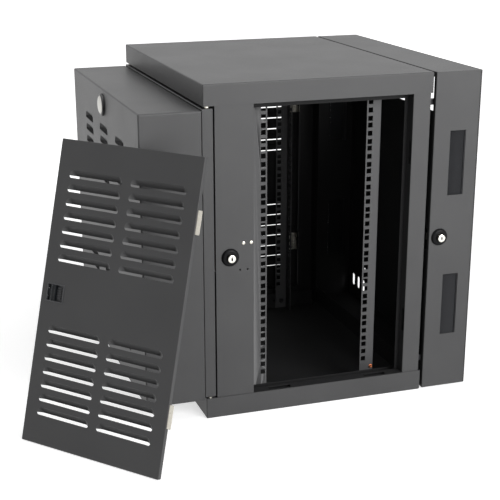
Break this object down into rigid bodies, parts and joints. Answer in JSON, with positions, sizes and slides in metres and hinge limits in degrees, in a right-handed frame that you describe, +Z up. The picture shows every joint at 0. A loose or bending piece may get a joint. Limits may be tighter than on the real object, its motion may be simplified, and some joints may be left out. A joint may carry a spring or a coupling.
{
  "type": "wall mount network cabinet",
  "caption": "Swing-out wall mount network cabinet with a deep louvred front door, lift-off louvred side panels, square-hole rack rails and brush cable ports.",
  "frame": {"origin": "centre of the four wall bolts, on the wall face of the wall plate", "axes": "+X to the cabinet's right, +Y into the wall, +Z up"},
  "size_m": [0.8264, 0.9012, 0.64],
  "materials": {
    "black_coat": "textured black powder coat",
    "rail_coat": "satin black powder coat",
    "zinc_plate": "bright zinc plate",
    "chrome_plate": "polished",
    "gloss_black": "glossy",
    "black_plastic": "matt moulded",
    "bristle": "dense nylon bristles",
    "holder_aluminium": "anodised",
    "copper": "copper plate",
    "badge_silver": "satin"
  },
  "bodies": {
    "wall_section": {"wall_plate": "black_coat", "wall_side_right": "black_coat", "wall_side_left": "black_coat", "wall_top": "black_coat", "wall_bottom": "black_coat", "brush_holders": "holder_aluminium", "brush_bristles": "bristle", "wall_lock_barrel": "chrome_plate", "wall_lock_nut": "zinc_plate", "wall_lock_collar": "gloss_black", "swing_hinge_wall_leaves": "black_coat", "swing_hinge_pins": "zinc_plate"},
    "main_body": {"bottom_pan": "black_coat", "door_lock_barrel": "chrome_plate", "door_lock_collar": "gloss_black", "door_lock_nut": "zinc_plate", "earth_screw": "copper", "header_left": "black_coat", "header_right": "black_coat", "latch_keepers": "zinc_plate", "pillar_front_left": "black_coat", "pillar_front_right": "black_coat", "pillar_rear_left": "black_coat", "pillar_rear_right": "black_coat", "pivot_bushes": "zinc_plate", "pivot_pins": "zinc_plate", "rail_bolts": "zinc_plate", "rail_front_left": "rail_coat", "rail_front_right": "rail_coat", "rail_nuts": "zinc_plate", "rail_rear_left": "rail_coat", "rail_rear_right": "rail_coat", "rail_tracks_lower": "rail_coat", "rail_tracks_upper": "rail_coat", "sill_left": "black_coat", "sill_right": "black_coat", "swing_guides": "zinc_plate", "swing_hinge_main_leaves": "black_coat", "top_cap": "black_coat", "wall_strike": "zinc_plate"},
    "front_door": {"door_frame": "black_coat", "door_shell": "black_coat", "door_badge": "badge_silver", "door_strike": "zinc_plate"},
    "right_side_panel": {"right_panel": "black_coat", "right_panel_hooks": "zinc_plate", "right_latch_housing": "black_plastic"},
    "right_panel_latch": {"right_latch_slider": "black_plastic"},
    "left_side_panel": {"left_panel": "black_coat", "left_panel_hooks": "zinc_plate", "left_latch_housing": "black_plastic"},
    "left_panel_latch": {"left_latch_slider": "black_plastic"},
    "door_lock": {"door_lock_plug": "chrome_plate", "door_lock_cam": "zinc_plate"},
    "wall_lock": {"wall_lock_plug": "chrome_plate", "wall_lock_cam": "zinc_plate"}
  },
  "joints": [
    {"name": "cabinet_swing", "type": "hinge", "parent": "wall_section", "child": "main_body", "pos_m": [-0.305, -0.0975, 0], "axis": [0, 0, -1], "range_deg": [0, 90]},
    {"name": "front_door_hinge", "type": "hinge", "parent": "main_body", "child": "front_door", "pos_m": [-0.294, -0.5415, 0], "axis": [0, 0, -1], "range_deg": [0, 120]},
    {"name": "left_panel_unhook", "type": "hinge", "parent": "main_body", "child": "left_side_panel", "pos_m": [-0.2985, -0.14235, 0], "axis": [0, 0, -1], "range_deg": [0, 25]},
    {"name": "right_panel_lift", "type": "slide", "parent": "front_door", "child": "right_side_panel", "axis": [0, 0, 1], "range_m": [0, 0.6]},
    {"name": "right_latch_slide", "type": "slide", "parent": "right_side_panel", "child": "right_panel_latch", "axis": [-0.766, -0.6428, 0], "range_m": [0, 0.006]},
    {"name": "left_latch_slide", "type": "slide", "parent": "left_side_panel", "child": "left_panel_latch", "axis": [0, -1, 0], "range_m": [0, 0.006]},
    {"name": "door_lock_turn", "type": "hinge", "parent": "main_body", "child": "door_lock", "pos_m": [0.2985, -0.5005, -0.0023], "axis": [1, 0, 0], "range_deg": [0, 90]},
    {"name": "wall_lock_turn", "type": "hinge", "parent": "wall_section", "child": "wall_lock", "pos_m": [0.3, -0.0732, -0.0023], "axis": [1, 0, 0], "range_deg": [0, 90]}
  ]
}
